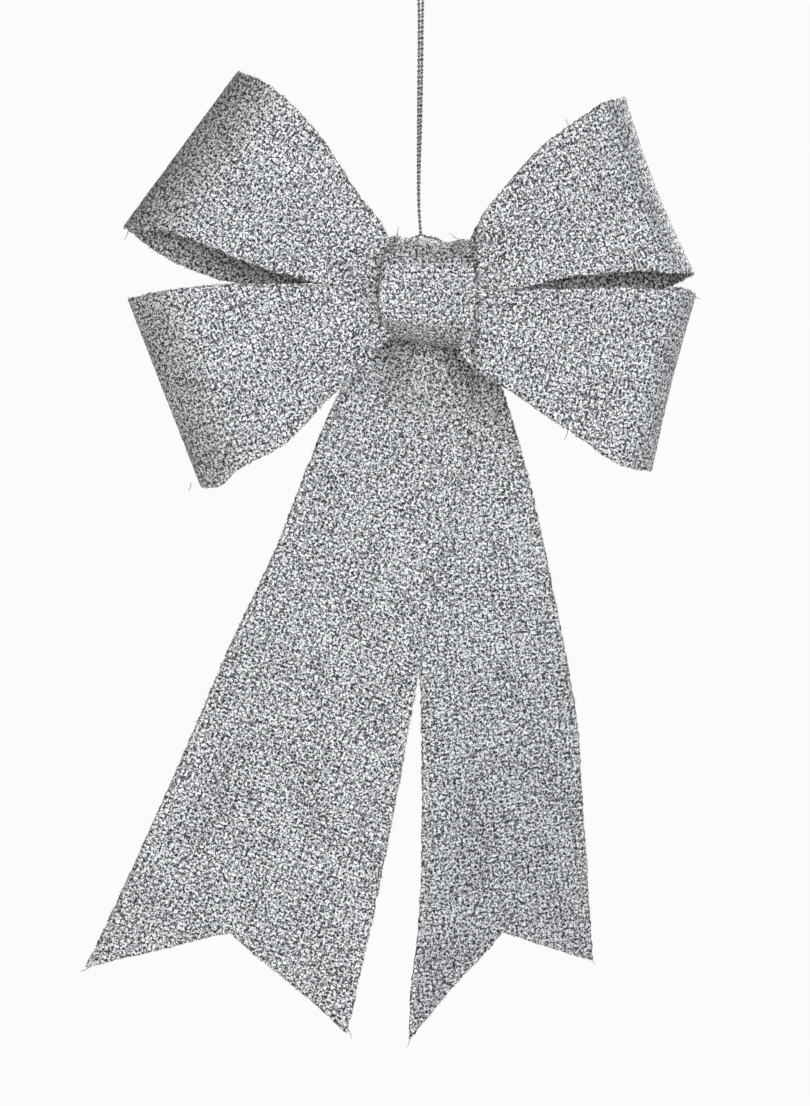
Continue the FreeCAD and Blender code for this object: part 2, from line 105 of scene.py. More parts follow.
class GIFTBOW_StageSettings(bpy.types.PropertyGroup):
    """Floor, lights and camera."""
    camera_distance: length("Camera distance", "From the camera to the bow", VIEW_DISTANCE * MM)
    view_height: length("View height", "What the camera sees at the bow, from bottom to top", 0.2876)
    view_centre_drop: length("View centre drop", "Centre of the view below the hanging point",
                             -VIEW_MIDDLE[1] * MM)
    view_centre_left: length("View centre left", "Centre of the view left of the hanging point",
                             -VIEW_MIDDLE[0] * MM)
    floor_drop: length("Floor drop", "Floor below the hanging point", 0.8)
    floor_radius: length("Floor radius", "Radius of the round floor", 5.2)
    background: colour("Background", "Backdrop paper seen by the camera", "#fbfbfb")
    floor_colour: colour("Floor", "Matt paint of the floor", "#f1f1f0")
    ambient: number("Ambient", "Strength of the light from all round", 0.32)
    key: number("Key", "Strength of the soft light in front", 2.15)
    fill: number("Fill", "Strength of the cool light at the right", 0.22)
    back: number("Back", "Strength of the soft light behind and above", 2.5)


class GIFTBOW_ClothSettings(bpy.types.PropertyGroup):
    """The knitted cloth."""
    thickness: length("Thickness", "Thickness of the cloth", 0.0008)
    wale: length("Wale", "Distance from one column of stitches to the next", 0.0015)
    course: length("Course", "Distance from one row of stitches to the next", 0.0013)
    stitch_relief: length("Stitch relief", "How far a stitch stands out of the cloth", 0.00006)
    tinsel_relief: length("Tinsel relief", "How far curls of tinsel stand out of the cloth", 0.00009)
    grid: length("Grid", "Distance between the points of a cloth's mesh", 0.00047)
    ragged: length("Ragged edge", "How far a cut edge strays from its line", 0.00028)
    fibre: length("Fibre", "Length of a cut end of tinsel at an edge", 0.00048)
    fibre_spacing: length("Fibre spacing", "From one cut end to the next along an edge", 0.0012)
    # Dark base yarn, darkened further as painted shade between the stitches.
    gap: colour("Gap", "Shadowed base yarn between the stitches", "#303337")
    tinsel: colour("Tinsel", "Metallised film seen at an angle", "#696b6e")
    # Painted glint: the brightest flecks stand for film that catches the light.
    painted_glint: colour("Glint", "Metallised film that faces the light", "#e6e8ea")


class GIFTBOW_CordSettings(bpy.types.PropertyGroup):
    """The hanging cord."""
    diameter: length("Diameter", "Diameter of one strand of cord", 0.00082)
    twist: length("Twist", "Length of one full turn of the two plies", 0.0029)
    cut_length: length("Length", "Length of the cord from knot to knot", 0.1758)
    # Silver of the wraps, which also serves as painted highlight on the bright dashes.
    silver_and_painted_highlight: colour("Silver", "Metallised wrap of the cord", "#b9bcc0")
    shade: colour("Shade", "Core yarn between the wraps", "#4b4e53")


class GIFTBOW_FixingSettings(bpy.types.PropertyGroup):
    """Gathering thread and glue."""
    thread: length("Thread", "Diameter of the gathering thread", 0.00036)
    turns: bpy.props.IntProperty(name="Turns", description="Turns of thread round the gathered ends",
                                 default=9, min=3)
    thread_colour: colour("Thread colour", "Spun polyester", "#a9abae")
    glue_colour: colour("Glue colour", "Hot-melt glue", "#e9e6da")


class GIFTBOW_Settings(bpy.types.PropertyGroup):
    """All the bow's sizes and colours."""
    stage: bpy.props.PointerProperty(type=GIFTBOW_StageSettings)
    cloth: bpy.props.PointerProperty(type=GIFTBOW_ClothSettings)
    cord: bpy.props.PointerProperty(type=GIFTBOW_CordSettings)
    fixing: bpy.props.PointerProperty(type=GIFTBOW_FixingSettings)


# ---------------------------------------------------------------- materials

def add_node(tree, kind, settings=None, links=None):
    """Adds a node, sets its properties and sockets, and links sockets to outputs of other nodes."""
    made = tree.nodes.new(kind)
    for key, value in (settings or {}).items():
        if isinstance(key, str) and hasattr(made, key):
            setattr(made, key, value)
        else:
            made.inputs[key].default_value = value
    for key, source in (links or {}).items():
        tree.links.new(source, made.inputs[key])
    return made


def material(name, recipe):
    """Material whose shader a recipe adds to its empty node tree; it is made only once."""
    if name in bpy.data.materials:
        return bpy.data.materials[name]
    made = bpy.data.materials.new(name)
    made.use_nodes = True
    tree = made.node_tree
    tree.nodes.clear()
    shader = recipe(tree)
    add_node(tree, "ShaderNodeOutputMaterial", {}, {"Surface": shader.outputs["BSDF"]})
    return made


def colour_stops(node, stops):
    """Sets a colour ramp to (position, linear colour) pairs."""
    ramp = node.color_ramp
    while len(ramp.elements) > 1:
        ramp.elements.remove(ramp.elements[-1])
    ramp.elements[0].position = stops[0][0]
    ramp.elements[0].color = (*stops[0][1], 1.0)
    for place, value in stops[1:]:
        ramp.elements.new(place).color = (*value, 1.0)


def glitter_knit(tree):
    """Metallised polyester film knitted with a base yarn, then stiffened.

    Curls of bright film about half a millimetre across lie every way over a dark base; the flash or grey
    that each would show by its own tilt is painted into the colour, as painted glints and painted shade,
    with a faint order of rows and columns underneath.
    """
    cloth = bpy.context.scene.gift_bow.cloth
    place = add_node(tree, "ShaderNodeUVMap", {"uv_map": CLOTH_MAP}).outputs["UV"]
    # The rows wander a little, over about a millimetre.
    wander = add_node(tree, "ShaderNodeTexNoise", {"noise_dimensions": "2D", "Scale": 1.3, "Detail": 1.0},
                      {"Vector": place})
    centred = add_node(tree, "ShaderNodeVectorMath", {"operation": "SUBTRACT", 1: (0.5, 0.5, 0.5)},
                       {0: wander.outputs["Color"]})
    shift = add_node(tree, "ShaderNodeVectorMath", {"operation": "SCALE", "Scale": 0.6},
                     {0: centred.outputs["Vector"]})
    bent = add_node(tree, "ShaderNodeVectorMath", {"operation": "ADD"},
                    {0: place, 1: shift.outputs["Vector"]}).outputs["Vector"]
    # Curls: a noise with a grain of 0.55 mm.
    curls = add_node(tree, "ShaderNodeTexNoise",
                     {"noise_dimensions": "2D", "Scale": 1.8, "Detail": 2.0, "Roughness": 0.6,
                      "Distortion": 0.5}, {"Vector": bent})
    # Stitches: cells one wale by one course.
    stitch_place = add_node(tree, "ShaderNodeVectorMath",
                            {"operation": "DIVIDE", 1: (cloth.wale / MM, cloth.course / MM, 1.0)},
                            {0: bent})
    stitches = add_node(tree, "ShaderNodeTexVoronoi",
                        {"voronoi_dimensions": "2D", "Scale": 1.0, "Randomness": 0.55},
                        {"Vector": stitch_place.outputs["Vector"]})
    crowns = add_node(tree, "ShaderNodeMapRange", {1: 0.75, 2: 0.1, 3: 0.0, 4: 1.0},
                      {0: stitches.outputs["Distance"]})
    # Patches about a centimetre across, painted lighter or darker as if the film lay flatter or steeper to
    # the light: painted light and shade.
    patches = add_node(tree, "ShaderNodeTexNoise", {"noise_dimensions": "2D", "Scale": 0.09, "Detail": 3.0},
                       {"Vector": place})
    height = add_node(tree, "ShaderNodeMix", {"data_type": "FLOAT", 0: 0.12},
                      {2: curls.outputs["Fac"], 3: crowns.outputs[0]})
    patch_light_and_shade = add_node(tree, "ShaderNodeMath", {"operation": "MULTIPLY_ADD", 1: 0.06, 2: -0.03},
                     {0: patches.outputs["Fac"]})
    level = add_node(tree, "ShaderNodeMath", {"operation": "ADD"},
                     {0: height.outputs[0], 1: patch_light_and_shade.outputs[0]})
    # High places take the glint colour and low ones the gap colour: painted glints on the curls and stitch
    # tops, painted shade between them.
    shade = add_node(tree, "ShaderNodeValToRGB", {}, {"Fac": level.outputs[0]})
    colour_stops(shade, [(0.38, cloth.gap), (0.485, cloth.tinsel), (0.575, cloth.painted_glint)])
    rough = add_node(tree, "ShaderNodeMapRange", {1: 0.35, 2: 0.65, 3: 0.70, 4: 0.45}, {0: level.outputs[0]})
    bump = add_node(tree, "ShaderNodeBump", {"Strength": 0.6, "Distance": 0.0003},
                    {"Height": height.outputs[0]})
    return add_node(tree, "ShaderNodeBsdfPrincipled", {"Metallic": 0.5},
                      {"Base Color": shade.outputs["Color"], "Roughness": rough.outputs[0],
                       "Normal": bump.outputs["Normal"]})


def metallic_cord(tree):
    """Cord of two plies, each a yarn wrapped in metallised film.

    The wraps give fine bright dashes across each ply, partly the film's own silver and partly painted
    highlight, with the darker core between them.
    """
    cord = bpy.context.scene.gift_bow.cord
    place = add_node(tree, "ShaderNodeUVMap", {"uv_map": CLOTH_MAP}).outputs["UV"]
    # Wraps drawn 1 mm apart, which is coarser than real ones, so that they show.
    wraps = add_node(tree, "ShaderNodeTexWave", {"Scale": 0.32, "Distortion": 2.5, "Detail": 2.0,
                                                 "Detail Scale": 1.4, "bands_direction": "Y"},
                     {"Vector": place})
    flecks = add_node(tree, "ShaderNodeTexNoise", {"noise_dimensions": "2D", "Scale": 1.6, "Detail": 2.0},
                      {"Vector": place})
    level = add_node(tree, "ShaderNodeMix", {"data_type": "FLOAT", 0: 0.55},
                     {2: wraps.outputs["Fac"], 3: flecks.outputs["Fac"]})
    # Bright bands are the wraps' silver with painted highlight; darker bands are the core yarn.
    shade = add_node(tree, "ShaderNodeValToRGB", {}, {"Fac": level.outputs[0]})
    colour_stops(shade, [(0.34, cord.shade), (0.62, cord.silver_and_painted_highlight)])
    bump = add_node(tree, "ShaderNodeBump", {"Strength": 0.6, "Distance": 0.0001},
                    {"Height": level.outputs[0]})
    return add_node(tree, "ShaderNodeBsdfPrincipled", {"Metallic": 0.7, "Roughness": 0.42},
                      {"Base Color": shade.outputs["Color"], "Normal": bump.outputs["Normal"]})


def spun_thread(tree):
    """Spun polyester sewing thread: matt and slightly fuzzy, with the twist showing as fine slanted lines."""
    fixing = bpy.context.scene.gift_bow.fixing
    place = add_node(tree, "ShaderNodeTexCoord").outputs["Object"]
    # Twist lines nearly 0.5 mm apart.
    twist = add_node(tree, "ShaderNodeTexWave",
                     {"Scale": 790.0, "Distortion": 1.5, "bands_direction": "DIAGONAL"}, {"Vector": place})
    shade = add_node(tree, "ShaderNodeValToRGB", {}, {"Fac": twist.outputs["Fac"]})
    # Painted shade: the twist's grooves are darkened to 55 per cent of the thread's colour.
    painted_groove_shade = tuple(0.55 * c for c in fixing.thread_colour)
    colour_stops(shade, [(0.15, painted_groove_shade), (0.7, fixing.thread_colour)])
    bump = add_node(tree, "ShaderNodeBump", {"Strength": 0.5, "Distance": 0.00005},
                    {"Height": twist.outputs["Fac"]})
    return add_node(tree, "ShaderNodeBsdfPrincipled",
                      {"Roughness": 0.75, "Sheen Weight": 0.3, "Sheen Roughness": 0.5},
                      {"Base Color": shade.outputs["Color"], "Normal": bump.outputs["Normal"]})


def hot_melt_glue(tree):
    """Hot-melt EVA glue squeezed flat: milky, with a wet gloss and faint flow marks."""
    fixing = bpy.context.scene.gift_bow.fixing
    place = add_node(tree, "ShaderNodeTexCoord").outputs["Object"]
    # Flow marks about 2 mm long.
    flow = add_node(tree, "ShaderNodeTexNoise", {"Scale": 450.0, "Detail": 3.0, "Distortion": 0.8},
                    {"Vector": place})
    shade = add_node(tree, "ShaderNodeValToRGB", {}, {"Fac": flow.outputs["Fac"]})
    milky = tuple(0.8 * c for c in fixing.glue_colour)
    colour_stops(shade, [(0.3, milky), (0.7, fixing.glue_colour)])
    rough = add_node(tree, "ShaderNodeMapRange", {1: 0.3, 2: 0.7, 3: 0.22, 4: 0.4}, {0: flow.outputs["Fac"]})
    bump = add_node(tree, "ShaderNodeBump", {"Strength": 0.4, "Distance": 0.0002},
                    {"Height": flow.outputs["Fac"]})
    return add_node(tree, "ShaderNodeBsdfPrincipled",
                      {"IOR": 1.48, "Subsurface Weight": 0.25, "Subsurface Scale": 0.001},
                      {"Base Color": shade.outputs["Color"], "Roughness": rough.outputs[0],
                       "Normal": bump.outputs["Normal"]})


def matt_paint(tree):
    """Matt emulsion on a studio floor: pale, with a roller's faint mottling."""
    stage = bpy.context.scene.gift_bow.stage
    place = add_node(tree, "ShaderNodeTexCoord").outputs["Object"]
    mottle = add_node(tree, "ShaderNodeTexNoise", {"Scale": 60.0, "Detail": 2.0}, {"Vector": place})
    shade = add_node(tree, "ShaderNodeValToRGB", {}, {"Fac": mottle.outputs["Fac"]})
    worn = tuple(0.97 * c for c in stage.floor_colour)
    colour_stops(shade, [(0.2, worn), (0.8, stage.floor_colour)])
    return add_node(tree, "ShaderNodeBsdfPrincipled", {"Roughness": 0.9},
                      {"Base Color": shade.outputs["Color"]})


# ---------------------------------------------------------------- mesh helpers

def deselect():
    """Leaves nothing selected, in object mode."""
    if bpy.context.object is not None and bpy.context.object.mode != "OBJECT":
        bpy.ops.object.mode_set(mode="OBJECT")
    bpy.ops.object.select_all(action="DESELECT")


def smooth_through(at, places, values):
    """A smooth line through (place, value) pairs, read at the given places."""
    slopes = np.gradient(values, places)
    at = np.clip(at, places[0], places[-1])
    left = np.clip(np.searchsorted(places, at) - 1, 0, len(places) - 2)
    run = places[left + 1] - places[left]
    x = (at - places[left]) / run
    return (values[left] * (1 + 2 * x) * (1 - x) ** 2 + slopes[left] * run * x * (1 - x) ** 2
            + values[left + 1] * x ** 2 * (3 - 2 * x) + slopes[left + 1] * run * x ** 2 * (x - 1))


def ease(x):
    """Smooth step from 0 to 1."""
    x = np.clip(x, 0.0, 1.0)
    return x * x * (3 - 2 * x)


NOISE_SIDE = 256


def grain(x, y, seed):
    """Smooth random value from -1 to 1 at each place, with a grain of one unit."""
    table = np.random.default_rng(seed).uniform(-1.0, 1.0, (NOISE_SIDE, NOISE_SIDE))
    i, j = np.floor(x).astype(int), np.floor(y).astype(int)
    a, b = ease(x - i), ease(y - j)
    corner = [[table[(i + di) % NOISE_SIDE, (j + dj) % NOISE_SIDE] for dj in (0, 1)] for di in (0, 1)]
    low = corner[0][0] * (1 - a) + corner[1][0] * a
    high = corner[0][1] * (1 - a) + corner[1][1] * a
    return low * (1 - b) + high * b


CURL_GRAIN = 0.8               # from one curl of tinsel to the next, in relief and at cut edges
WANDER_GRAIN = 5.0             # over this distance a row of stitches wanders by up to WANDER
WANDER = 0.4
EDGE_GRAIN = 6.0               # the longer waves of a cut edge


def knit_relief(across, along, seed):
    """Height of the cloth's surface in millimetres: rows of stitches under curls of tinsel."""
    cloth = bpy.context.scene.gift_bow.cloth
    wale, course = cloth.wale / MM, cloth.course / MM
    across = across + WANDER * grain(across / WANDER_GRAIN, along / WANDER_GRAIN, seed)
    along = along + WANDER * grain(across / WANDER_GRAIN + 40, along / WANDER_GRAIN, seed)
    rows = np.cos(2 * np.pi * across / wale) * np.cos(2 * np.pi * along / course)
    tufts = grain(across / CURL_GRAIN, along / CURL_GRAIN, seed + 1)
    return (cloth.stitch_relief * rows + cloth.tinsel_relief * tufts) / MM


def ragged(along, seed):
    """How far a cut edge strays outwards, in millimetres, at places along it."""
    cloth = bpy.context.scene.gift_bow.cloth
    return cloth.ragged / MM * (grain(along / CURL_GRAIN, along * 0 + 0.5, seed)
                                + 0.5 * grain(along / EDGE_GRAIN, along * 0 + 0.5, seed + 1))


def mesh_object(name, points, faces, uv, material):
    """Smooth-shaded mesh from points in millimetres, with a UV in millimetres for each point."""
    mesh = bpy.data.meshes.new(name)
    mesh.from_pydata((points * MM).tolist(), [], faces)
    layer = mesh.uv_layers.new(name=CLOTH_MAP)
    corners = np.zeros(len(mesh.loops), dtype=np.int32)
    mesh.loops.foreach_get("vertex_index", corners)
    layer.data.foreach_set("uv", uv[corners].astype(np.float32).ravel())
    mesh.shade_smooth()
    mesh.materials.append(material)
    made = bpy.data.objects.new(name, mesh)
    bpy.context.scene.collection.objects.link(made)
    return made


def unit(vectors):
    """The same vectors, one long."""
    return vectors / np.linalg.norm(vectors, axis=-1)[..., None]


def normals(middle):
    """Unit normal of a sheet at each point of a grid."""
    return unit(np.cross(np.gradient(middle, axis=0), np.gradient(middle, axis=1)))


def running_length(line):
    """Distance along a line from its first point to each point."""
    return np.concatenate([[0.0], np.cumsum(np.linalg.norm(np.diff(line, axis=0), axis=1))])


def cloth_object(name, middle, across, along, seed):
    """Closed sheet of knit about a grid of middle points; both sides and all four rims are made."""
    cloth = bpy.context.scene.gift_bow.cloth
    rows, columns = middle.shape[:2]
    normal = normals(middle)
    half = np.full((rows, columns), cloth.thickness / MM / 2)
    edge = np.minimum.outer(np.minimum(np.arange(rows), np.arange(rows)[::-1]),
                            np.minimum(np.arange(columns), np.arange(columns)[::-1]))
    rim = np.where(edge == 0, 0.45, 1.0)
    sides = []
    for side, turn in enumerate((1, -1)):
        lift = (half - cloth.stitch_relief / MM + knit_relief(across, along, seed + 5 * side)) * rim
        sides.append((middle + turn * lift[..., None] * normal).reshape(-1, 3))
    index = np.arange(rows * columns).reshape(rows, columns)
    quads = np.stack([index[:-1, :-1], index[1:, :-1], index[1:, 1:], index[:-1, 1:]], -1).reshape(-1, 4)
    other = rows * columns
    faces = [quads, quads[:, ::-1] + other]
    for line in (index[0], index[-1, ::-1], index[::-1, 0], index[:, -1]):
        faces.append(np.stack([line[:-1], line[1:], line[1:] + other, line[:-1] + other], -1))
    uv = np.stack([across, along], -1).reshape(-1, 2)
    return mesh_object(name, np.concatenate(sides) + KNOT, np.concatenate(faces).tolist(),
                       np.concatenate([uv, uv]), material("metallised_film_knit", glitter_knit))


def tube(path, radius, sides, tip=1.0):
    """Points, faces and UVs of a closed tube along points; its radius shrinks to a share, tip, at the end."""
    path = np.asarray(path, float)
    tangent = unit(np.gradient(path, axis=0))
    frames = [unit(np.cross(tangent[0], (0.31, 0.87, 0.38)))]
    for ahead in tangent[1:]:
        frames.append(unit(frames[-1] - ahead * (frames[-1] @ ahead)))
    first = np.array(frames)
    second = np.cross(tangent, first)
    count = len(path)
    angle = 2 * np.pi * np.arange(sides) / sides
    width = radius * np.linspace(1.0, tip, count)[:, None, None]
    ring = np.cos(angle)[None, :, None] * first[:, None] + np.sin(angle)[None, :, None] * second[:, None]
    points = (path[:, None] + ring * width).reshape(-1, 3)
    index = np.arange(count * sides).reshape(count, sides)
    after = np.roll(index, -1, axis=1)
    faces = np.stack([index[:-1], after[:-1], after[1:], index[1:]], -1).reshape(-1, 4).tolist()
    faces += [index[0, ::-1].tolist(), index[-1].tolist()]
    run = running_length(path)
    uv = np.stack(np.broadcast_arrays(np.arange(sides)[None] * 2.4 / sides, run[:, None]), -1)
    return points, faces, uv.reshape(-1, 2), first, second


def tubes_object(name, tubes, material):
    """One mesh object from several tubes given in millimetres."""
    points, faces, uvs, start = [], [], [], 0
    for tube_points, tube_faces, uv, _, _ in tubes:
        points.append(tube_points)
        faces += [[start + corner for corner in face] for face in tube_faces]
        uvs.append(uv)
        start += len(tube_points)
    return mesh_object(name, np.concatenate(points), faces, np.concatenate(uvs), material)


def edge_fibres(line, outward, normal, seed):
    """Cut ends of tinsel that curl out of an edge: one short fibre every spacing or so along a line."""
    cloth = bpy.context.scene.gift_bow.cloth
    random = np.random.default_rng(seed)
    run = running_length(line)
    places = np.arange(0.3, run[-1], cloth.fibre_spacing / MM)
    places = np.clip(places + random.uniform(-0.3, 0.3, len(places)), 0, run[-1])
    made = []
    for place in places:
        foot, out, up = (np.array([np.interp(place, run, part[:, k]) for k in range(3)])
                         for part in (line, outward, normal))
        ahead = np.cross(out, up)
        reach = cloth.fibre / MM * random.uniform(0.3, 1.0) ** 1.5
        lean, bow, rise = random.uniform(-0.9, 0.9), random.uniform(-0.5, 0.5), random.uniform(-0.5, 0.5)
        path = [foot + reach * (share * out + lean * share * ahead * (1 - 0.5 * share)
                                + bow * share * (1 - share) * 2 * ahead + rise * share * share * up)
                - 0.25 * out * (share == 0) for share in (0.0, 0.35, 0.7, 1.0)]
        points, faces, uv, first, second = tube(path, 0.09, 4, 0.6)
        made.append((points, faces, uv + random.uniform(0, 60, 2), first, second))
    return made


# Longer loose ends of tinsel on each piece, foot to tip, in millimetres from the knot's centre.
LOOSE_ENDS = {
    "knot_band": [((-8.3, -2.5, 14.2), (-8.1, -2.9, 17.6)), ((-7.2, -3.0, 14.4), (-8.9, -3.6, 16.0)),
                  ((7.8, -4.0, 14.2), (5.0, -4.4, 15.9)), ((1.0, -4.0, 14.2), (0.2, -4.3, 15.4))],
    "upper_left": [((-78.4, -2.0, 16.6), (-79.4, -2.6, 14.2))],
    "upper_right": [((36.0, -7.4, 43.5), (35.2, -7.8, 45.2))],
    "lower_left": [((-62.0, -5.0, -49.0), (-62.6, -5.3, -51.0))],
    "lower_right": [((35.6, -8.0, -35.0), (34.6, -8.8, -38.0)), ((68.4, -1.0, -0.5), (70.2, -1.4, -1.2))],
    "left": [((-21.6, 10.4, -191.5), (-20.4, 10.2, -194.4)), ((-89.0, 10.6, -175.4), (-91.6, 10.4, -176.6))],
    "right": [((42.4, 42.6, -174.4), (44.2, 42.6, -177.2)), ((-5.2, 17.0, -194.0), (-6.0, 17.2, -197.0))],
}


def loose_ends(name):
    """Tubes for the loose ends of a piece, each bowed a little to one side."""
    made = []
    for foot, tip in LOOSE_ENDS[name]:
        foot, tip = np.array(foot), np.array(tip)
        bow = 0.08 * np.cross(tip - foot, (0, 1, 0))
        path = [KNOT + foot + (tip - foot) * share + bow * 4 * share * (1 - share)
                for share in np.linspace(0, 1, 6)]
        made.append(tube(path, 0.11, 5, 0.7))
    return made


def fringe_object(piece, fibres, ends):
    """The cut and loose ends of tinsel of a piece of cloth."""
    return tubes_object(piece + "_edge_fibres", fibres + loose_ends(ends),
                        material("metallised_film_knit", glitter_knit))


def ride_as(piece, body, slot, *nodes):
    """The piece moves with a body and stands for CAD nodes, which are hidden; the slot is not used."""
    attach(piece, body)
    if nodes:
        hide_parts(*nodes)


# ---------------------------------------------------------------- stage

# Each soft lamp: how wide it looks in degrees, its colour and the direction that it shines in.
LAMPS = {
    "key": (50, "#ffffff", (-0.26, 1.0, -0.06)),
    "fill": (60, "#c6d8ff", (-0.75, 0.6, 0.1)),
    "back": (60, "#ffffff", (-0.45, -0.62, -0.64)),
}


class GIFTBOW_OT_stage(bpy.types.Operator):
    """Adds the camera, soft studio light and the pale floor"""
    bl_idname = "giftbow.stage"
    bl_label = "Stage"

    def execute(self, context):
        stage = context.scene.gift_bow.stage
        deselect()
        bpy.ops.object.camera_add(
            location=(-stage.view_centre_left, -stage.camera_distance, -stage.view_centre_drop),
            rotation=(math.radians(90), 0, 0))
        camera = context.object
        camera.name = "camera"
        camera.data.sensor_width = 36.0
        camera.data.lens = camera.data.sensor_width * stage.camera_distance / stage.view_height
        context.scene.camera = camera

        for name, (angle, shade, towards) in LAMPS.items():
            bpy.ops.object.light_add(type="SUN", rotation=Vector(towards).to_track_quat("-Z", "Y").to_euler())
            lamp = context.object
            lamp.name = name + "_light"
            lamp.data.energy = getattr(stage, name)
            lamp.data.angle = math.radians(angle)
            lamp.data.color = linear(shade)

        deselect()
        bpy.ops.mesh.primitive_circle_add(vertices=128, radius=stage.floor_radius, fill_type="NGON",
                                          location=(0, 0, -stage.floor_drop))
        bpy.ops.object.transform_apply(location=True, rotation=True, scale=True)
        floor = context.object
        floor.name = "floor"
        floor.data.materials.append(material("matt_floor_paint", matt_paint))

        world = bpy.data.worlds.new("studio")
        context.scene.world = world
        world.use_nodes = True
        tree = world.node_tree
        tree.nodes.clear()
        paper = add_node(tree, "ShaderNodeBackground", {"Color": (*stage.background, 1), "Strength": 1.0})
        room = add_node(tree, "ShaderNodeBackground", {"Color": (1, 1, 1, 1), "Strength": stage.ambient})
        seen = add_node(tree, "ShaderNodeLightPath")
        both = add_node(tree, "ShaderNodeMixShader", {},
                        {0: seen.outputs["Is Camera Ray"], 1: room.outputs[0], 2: paper.outputs[0]})
        add_node(tree, "ShaderNodeOutputWorld", {}, {"Surface": both.outputs[0]})
        context.scene.view_settings.view_transform = "Standard"
        return {"FINISHED"}


# ---------------------------------------------------------------- cord

# The cord's route in millimetres, from its knot inside the band up to the hook and down again.
CORD_ROUTE = [
    (0.00, 0.00, -81.3), (-3.10, 0.00, -80.2), (-3.10, 0.00, -77.5), (0.22, -0.43, -76.7),
    (0.10, -0.43, -74.9), (-0.36, -0.43, -69.0), (-0.47, -0.38, -61.0), (-0.45, -0.26, -50.0),
    (-0.37, -0.10, -38.0), (-0.22, 0.02, -25.0), (-0.24, 0.00, -15.0), (-1.10, 0.00, -8.0),
    (-1.90, 0.00, -3.0), (-1.90, 0.00, 0.40), (1.90, 0.00, 0.40), (1.90, 0.00, -3.0),
    (1.30, 0.00, -8.0), (0.70, 0.00, -15.0), (0.58, 0.06, -25.0), (0.45, 0.26, -38.0),
    (0.16, 0.42, -50.0), (-0.20, 0.48, -61.0), (-0.30, 0.43, -69.0), (0.10, 0.43, -74.9),
    (0.22, 0.43, -76.7), (5.70, 0.00, -77.5), (5.70, 0.00, -80.2), (2.60, 0.00, -81.3),
]


def route_line(points):
    """Points along the smooth line that a NURBS spline draws from control points in millimetres."""
    curve = bpy.data.curves.new("route", "CURVE")
    curve.dimensions = "3D"
    curve.resolution_u = 24
    spline = curve.splines.new("NURBS")
    spline.points.add(len(points) - 1)
    for point, place in zip(spline.points, points):
        point.co = (*(MM * c for c in place), 1.0)
    spline.order_u = 3
    spline.use_endpoint_u = True
    holder = bpy.data.objects.new("route", curve)
    bpy.context.scene.collection.objects.link(holder)
    bpy.context.view_layer.update()
    mesh = bpy.data.meshes.new_from_object(holder)
    line = np.array([vertex.co[:] for vertex in mesh.vertices]) / MM
    bpy.data.objects.remove(holder)
    bpy.data.curves.remove(curve)
    bpy.data.meshes.remove(mesh)
    return line


def evenly(line, step):
    """The same line with points a step apart."""
    run = running_length(line)
    at = np.linspace(0.0, run[-1], int(run[-1] / step) + 1)
    return np.stack([np.interp(at, run, line[:, k]) for k in range(3)], -1), at


def twisted_plies(line, diameter, twist):
    """Two plies laid round each other along a line."""
    line, run = evenly(line, 0.16)
    ply = diameter / 4 * 1.12
    _, _, _, first, second = tube(line, ply, 4)
    plies = []
    for start in (0.0, math.pi):
        angle = (start + 2 * math.pi * run / twist)[:, None]
        centre = line + (diameter / 2 - ply) * (np.cos(angle) * first + np.sin(angle) * second)
        plies.append(tube(centre, ply, 8))
    return plies


class GIFTBOW_OT_cord(bpy.types.Operator):
    """Makes the hanging cord of two twisted plies"""
    bl_idname = "giftbow.cord"
    bl_label = "Hanging cord"

    def execute(self, context):
        cord = context.scene.gift_bow.cord
        line = route_line(CORD_ROUTE)
        strands = tubes_object("cord_strands", twisted_plies(line, cord.diameter / MM, cord.twist / MM),
                               material("film_wrapped_cord", metallic_cord))
        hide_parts("hanging_cord", "cord_ends")
        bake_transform(strands)
        return {"FINISHED"}


class GIFTBOW_OT_cord_knot(bpy.types.Operator):
    """Ties the knot that holds both ends of the cord inside the band"""
    bl_idname = "giftbow.cord_knot"
    bl_label = "Cord knot"

    def execute(self, context):
        cord = context.scene.gift_bow.cord
        low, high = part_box("cord_knot")
        middle = np.array((low + high) / 2) / MM
        radius = (high.x - low.x) / 2 / MM - cord.diameter / MM / 2
        t = np.linspace(0.0, 2 * np.pi, 97)[:-1]
        trefoil = np.stack([np.sin(t) + 2 * np.sin(2 * t), np.cos(t) - 2 * np.cos(2 * t),
                            -1.4 * np.sin(3 * t)], -1) / 3
        plies = twisted_plies(middle + radius * trefoil, cord.diameter / MM, cord.twist / MM)
        tied = tubes_object("cord_end_knot", plies, material("film_wrapped_cord", metallic_cord))
        ride_as(tied, "knot", "metallic_cord", "cord_knot")
        return {"FINISHED"}


# ---------------------------------------------------------------- knot

BAND_LEFT = (10.4, 2.9)        # half-width at the band's top and foot, and how much wider at the middle
BAND_RIGHT = (9.8, 2.3)
BAND_EDGE_SINK = 0.35          # how far the band's edges are pulled in
BAND_CREST = 0.9               # how far its top rises beside the cord and at its left corner
BAND_RIGHT_CREST = 0.5
BAND_DRAWN = 2.5               # how far its foot is drawn up at the left


def band_line():
    """Places along the band's strip, seen from its side: from under the lap, round, to the lap's end."""
    cloth = bpy.context.scene.gift_bow.cloth.thickness / MM
    radius = BAND_HALF_DEPTH - cloth / 2
    rise = BAND_HALF_HEIGHT - BAND_HALF_DEPTH
    low = np.radians(np.arange(0, 181, 5))
    start = [(radius, 4.0)]
    bottom = [(radius * math.cos(a), -rise - radius * math.sin(a)) for a in low]
    top = [(-radius * math.cos(a), rise + radius * math.sin(a)) for a in low[:-3]]
    lap = LAP_BACK - cloth / 2
    end = [(lap - 0.25, rise + 0.4), (lap, rise - 1.6), (lap, -5.0)]
    return np.array(start + bottom + top + end)


